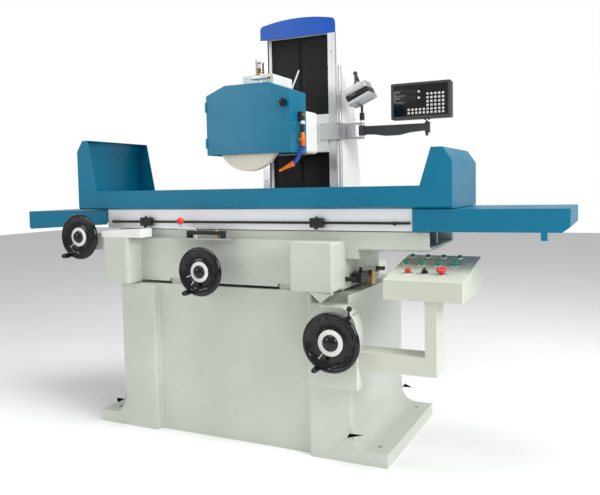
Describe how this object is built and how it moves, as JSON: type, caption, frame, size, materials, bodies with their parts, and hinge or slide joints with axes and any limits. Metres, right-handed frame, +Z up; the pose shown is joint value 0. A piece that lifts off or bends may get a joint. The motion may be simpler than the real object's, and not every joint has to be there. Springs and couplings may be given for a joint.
{
  "type": "surface grinder",
  "caption": "Horizontal-spindle surface grinder: hollow bed and column, cross saddle, long table with magnetic chuck and splash guard, guarded wheel head, handwheels, control desk and display.",
  "frame": {"origin": "on the floor under the middle of the bed's front section, midway between its side feet and on the column's centre line", "axes": "+X along the table to the operator's right, -Y towards the operator, +Z up"},
  "size_m": [2.799, 1.65, 2.15],
  "materials": {
    "cast_grey": "smooth light grey-green machine enamel",
    "cast_light": "smooth light grey enamel",
    "machine_blue": "gloss teal blue enamel on sheet steel",
    "header_blue": "gloss deep blue enamel",
    "ground_iron": "ground and scraped",
    "bare_steel": "ground steel",
    "black_sheet": "matt black",
    "alloy": "satin anodised",
    "blackened": "blackened steel",
    "wheel_black": "polished black",
    "abrasive": "bonded white alumina",
    "oiler_glass": "clear",
    "hose_parts": "moulded hose segments",
    "nozzle_orange": "moulded",
    "lamp_green": "translucent green",
    "stop_red": "moulded",
    "switch_black": "moulded",
    "display_case": "moulded, dark grey"
  },
  "bodies": {
    "bed": {"base_casting": "cast_grey", "column_casting": "cast_light", "column_ways": "bare_steel", "header_plate": "header_blue", "column_shield": "black_sheet", "height_scale": "alloy", "feed_gearbox": "cast_grey", "control_arm": "cast_grey", "control_box": "cast_grey", "pilot_lamps": "lamp_green", "dro_bracket": "alloy"},
    "saddle": {"saddle_casting": "cast_grey", "saddle_end_cover": "cast_light", "reversing_valve": "bare_steel", "traverse_gearbox": "cast_grey", "travel_stop_rail": "blackened", "table_cylinder": "bare_steel"},
    "table": {"table_casting": "ground_iron", "magnetic_chuck": "bare_steel", "splash_panels": "machine_blue", "splash_hood_left": "machine_blue", "splash_hood_right": "machine_blue", "way_cover_left": "machine_blue", "way_cover_right": "machine_blue", "dog_rail": "blackened", "table_drive": "bare_steel"},
    "left_dog": {"trip_dog_left": "blackened"},
    "right_dog": {"trip_dog_right": "blackened"},
    "reversing_lever": {"reversing_lever": "bare_steel"},
    "wheel_head": {"head_carriage": "ground_iron", "head_casting": "cast_light", "spindle_motor": "bare_steel", "wheel_guard": "machine_blue", "sight_oiler": "oiler_glass", "coolant_hose": "hose_parts", "scale_bracket": "blackened"},
    "guard_door": {"guard_door": "machine_blue"},
    "guard_knob": {"guard_knob": "wheel_black"},
    "coolant_nozzle": {"coolant_nozzle": "nozzle_orange"},
    "spindle": {"spindle": "bare_steel", "grinding_wheel": "abrasive"},
    "vertical_handwheel": {"handwheel_vertical": "wheel_black"},
    "vertical_grip": {"grip_vertical": "wheel_black"},
    "cross_handwheel": {"handwheel_cross": "wheel_black"},
    "cross_grip": {"grip_cross": "wheel_black"},
    "table_handwheel": {"handwheel_table": "wheel_black"},
    "table_grip": {"grip_table": "wheel_black"},
    "elevating_screw": {"elevating_screw": "bare_steel"},
    "feed_lever": {"feed_lever": "blackened"},
    "display_arm": {"dro_arm": "blackened"},
    "display": {"dro_display": "display_case"},
    "lamp_arm": {"lamp_arm": "blackened"},
    "lamp": {"lamp_head": "alloy"},
    "selector": {"selector_switch": "switch_black"},
    "emergency_stop": {"emergency_stop": "stop_red"},
    "stop_button": {"stop_button": "stop_red"},
    "start_button_1": {"start_button_1": "lamp_green"},
    "start_button_2": {"start_button_2": "lamp_green"},
    "start_button_3": {"start_button_3": "lamp_green"},
    "start_button_4": {"start_button_4": "lamp_green"}
  },
  "joints": [
    {"name": "saddle_cross_travel", "type": "slide", "parent": "bed", "child": "saddle", "axis": [0, 1, 0], "range_m": [-0.225, 0.09]},
    {"name": "table_travel", "type": "slide", "parent": "saddle", "child": "table", "axis": [1, 0, 0], "range_m": [-0.5, 0.4]},
    {"name": "head_travel", "type": "slide", "parent": "bed", "child": "wheel_head", "axis": [0, 0, 1], "range_m": [-0.08, 0.28]},
    {"name": "vertical_handwheel_turn", "type": "hinge", "parent": "bed", "child": "vertical_handwheel", "pos_m": [0.584, -0.5, 0.552], "axis": [0, 1, 0], "range_deg": [-14400.5, 50400.5]},
    {"name": "cross_handwheel_turn", "type": "hinge", "parent": "saddle", "child": "cross_handwheel", "pos_m": [-0.088, -0.448, 0.816], "axis": [0, 1, 0], "range_deg": [-16200.5, 6480.5]},
    {"name": "table_handwheel_turn", "type": "hinge", "parent": "saddle", "child": "table_handwheel", "pos_m": [-0.812, -0.448, 0.967], "axis": [0, 1, 0], "range_deg": [-1800.5, 1440.5]},
    {"name": "elevating_screw_turn", "type": "hinge", "parent": "bed", "child": "elevating_screw", "pos_m": [0, 0.62, 1], "axis": [0, 0, 1], "range_deg": [-3600.14, 12600.14]},
    {"name": "vertical_grip_spin", "type": "hinge", "parent": "vertical_handwheel", "child": "vertical_grip", "pos_m": [0.5354, -0.5, 0.44777], "axis": [0, 1, 0], "continuous": true},
    {"name": "cross_grip_spin", "type": "hinge", "parent": "cross_handwheel", "child": "cross_grip", "pos_m": [-0.13111, -0.448, 0.72356], "axis": [0, 1, 0], "continuous": true},
    {"name": "table_grip_spin", "type": "hinge", "parent": "table_handwheel", "child": "table_grip", "pos_m": [-0.85511, -0.448, 0.87456], "axis": [0, 1, 0], "continuous": true},
    {"name": "spindle_spin", "type": "hinge", "parent": "wheel_head", "child": "spindle", "pos_m": [0, -0.118, 1.456], "axis": [0, 1, 0], "continuous": true},
    {"name": "guard_door_hinge", "type": "hinge", "parent": "wheel_head", "child": "guard_door", "pos_m": [-0.227, -0.154, 1.5], "axis": [0, 0, -1], "range_deg": [0, 100]},
    {"name": "guard_knob_turn", "type": "hinge", "parent": "guard_door", "child": "guard_knob", "pos_m": [0.213, -0.15, 1.6], "axis": [0, 1, 0], "range_deg": [-720, 0]},
    {"name": "coolant_nozzle_swivel", "type": "hinge", "parent": "wheel_head", "child": "coolant_nozzle", "pos_m": [0.23, -0.088, 1.315], "axis": [0, 0, 1], "range_deg": [-20, 20]},
    {"name": "reversing_lever_swing", "type": "hinge", "parent": "saddle", "child": "reversing_lever", "pos_m": [-0.166, -0.362, 1], "axis": [0, 0, 1], "range_deg": [-8, 8]},
    {"name": "left_dog_slide", "type": "slide", "parent": "table", "child": "left_dog", "axis": [1, 0, 0], "range_m": [-0.17, 0.3]},
    {"name": "right_dog_slide", "type": "slide", "parent": "table", "child": "right_dog", "axis": [1, 0, 0], "range_m": [-0.3, 0.17]},
    {"name": "feed_lever_swing", "type": "hinge", "parent": "bed", "child": "feed_lever", "pos_m": [0.648, -0.463, 0.652], "axis": [0, 1, 0], "range_deg": [-20, 20]},
    {"name": "display_arm_swing", "type": "hinge", "parent": "bed", "child": "display_arm", "pos_m": [0.345, 0.56, 1.5], "axis": [0, 0, 1], "range_deg": [-45, 30]},
    {"name": "display_tilt", "type": "hinge", "parent": "display_arm", "child": "display", "pos_m": [0.714, 0.56, 1.546], "axis": [1, 0, 0], "range_deg": [-12, 12]},
    {"name": "lamp_arm_swing", "type": "hinge", "parent": "bed", "child": "lamp_arm", "pos_m": [0.345, 0.56, 1.58], "axis": [0, 0, 1], "range_deg": [0, 80]},
    {"name": "lamp_tilt", "type": "hinge", "parent": "lamp_arm", "child": "lamp", "pos_m": [0.337, 0.486, 1.756], "axis": [1, 0, 0], "range_deg": [-8, 2]},
    {"name": "selector_turn", "type": "hinge", "parent": "bed", "child": "selector", "pos_m": [0.938, -0.34, 0.83346], "axis": [0, -0.172, 0.9851], "range_deg": [-45, 45]},
    {"name": "emergency_stop_push", "type": "slide", "parent": "bed", "child": "emergency_stop", "axis": [0, 0.172, -0.9851], "range_m": [0, 0.005], "stiffness_N_per_m": 600, "springref_m": -0.003},
    {"name": "stop_button_push", "type": "slide", "parent": "bed", "child": "stop_button", "axis": [0, 0.172, -0.9851], "range_m": [0, 0.004], "stiffness_N_per_m": 400, "springref_m": -0.003},
    {"name": "start_button_1_push", "type": "slide", "parent": "bed", "child": "start_button_1", "axis": [0, 0.172, -0.9851], "range_m": [0, 0.004], "stiffness_N_per_m": 400, "springref_m": -0.003},
    {"name": "start_button_2_push", "type": "slide", "parent": "bed", "child": "start_button_2", "axis": [0, 0.172, -0.9851], "range_m": [0, 0.004], "stiffness_N_per_m": 400, "springref_m": -0.003},
    {"name": "start_button_3_push", "type": "slide", "parent": "bed", "child": "start_button_3", "axis": [0, 0.172, -0.9851], "range_m": [0, 0.004], "stiffness_N_per_m": 400, "springref_m": -0.003},
    {"name": "start_button_4_push", "type": "slide", "parent": "bed", "child": "start_button_4", "axis": [0, 0.172, -0.9851], "range_m": [0, 0.004], "stiffness_N_per_m": 400, "springref_m": -0.003}
  ],
  "couplings": [
    {"joint": "cross_handwheel_turn", "follows": "saddle_cross_travel", "rad_per_m": 1256.6},
    {"joint": "table_handwheel_turn", "follows": "table_travel", "rad_per_m": 62.832},
    {"joint": "vertical_handwheel_turn", "follows": "head_travel", "rad_per_m": 3141.6},
    {"joint": "elevating_screw_turn", "follows": "head_travel", "rad_per_m": 785.4}
  ]
}
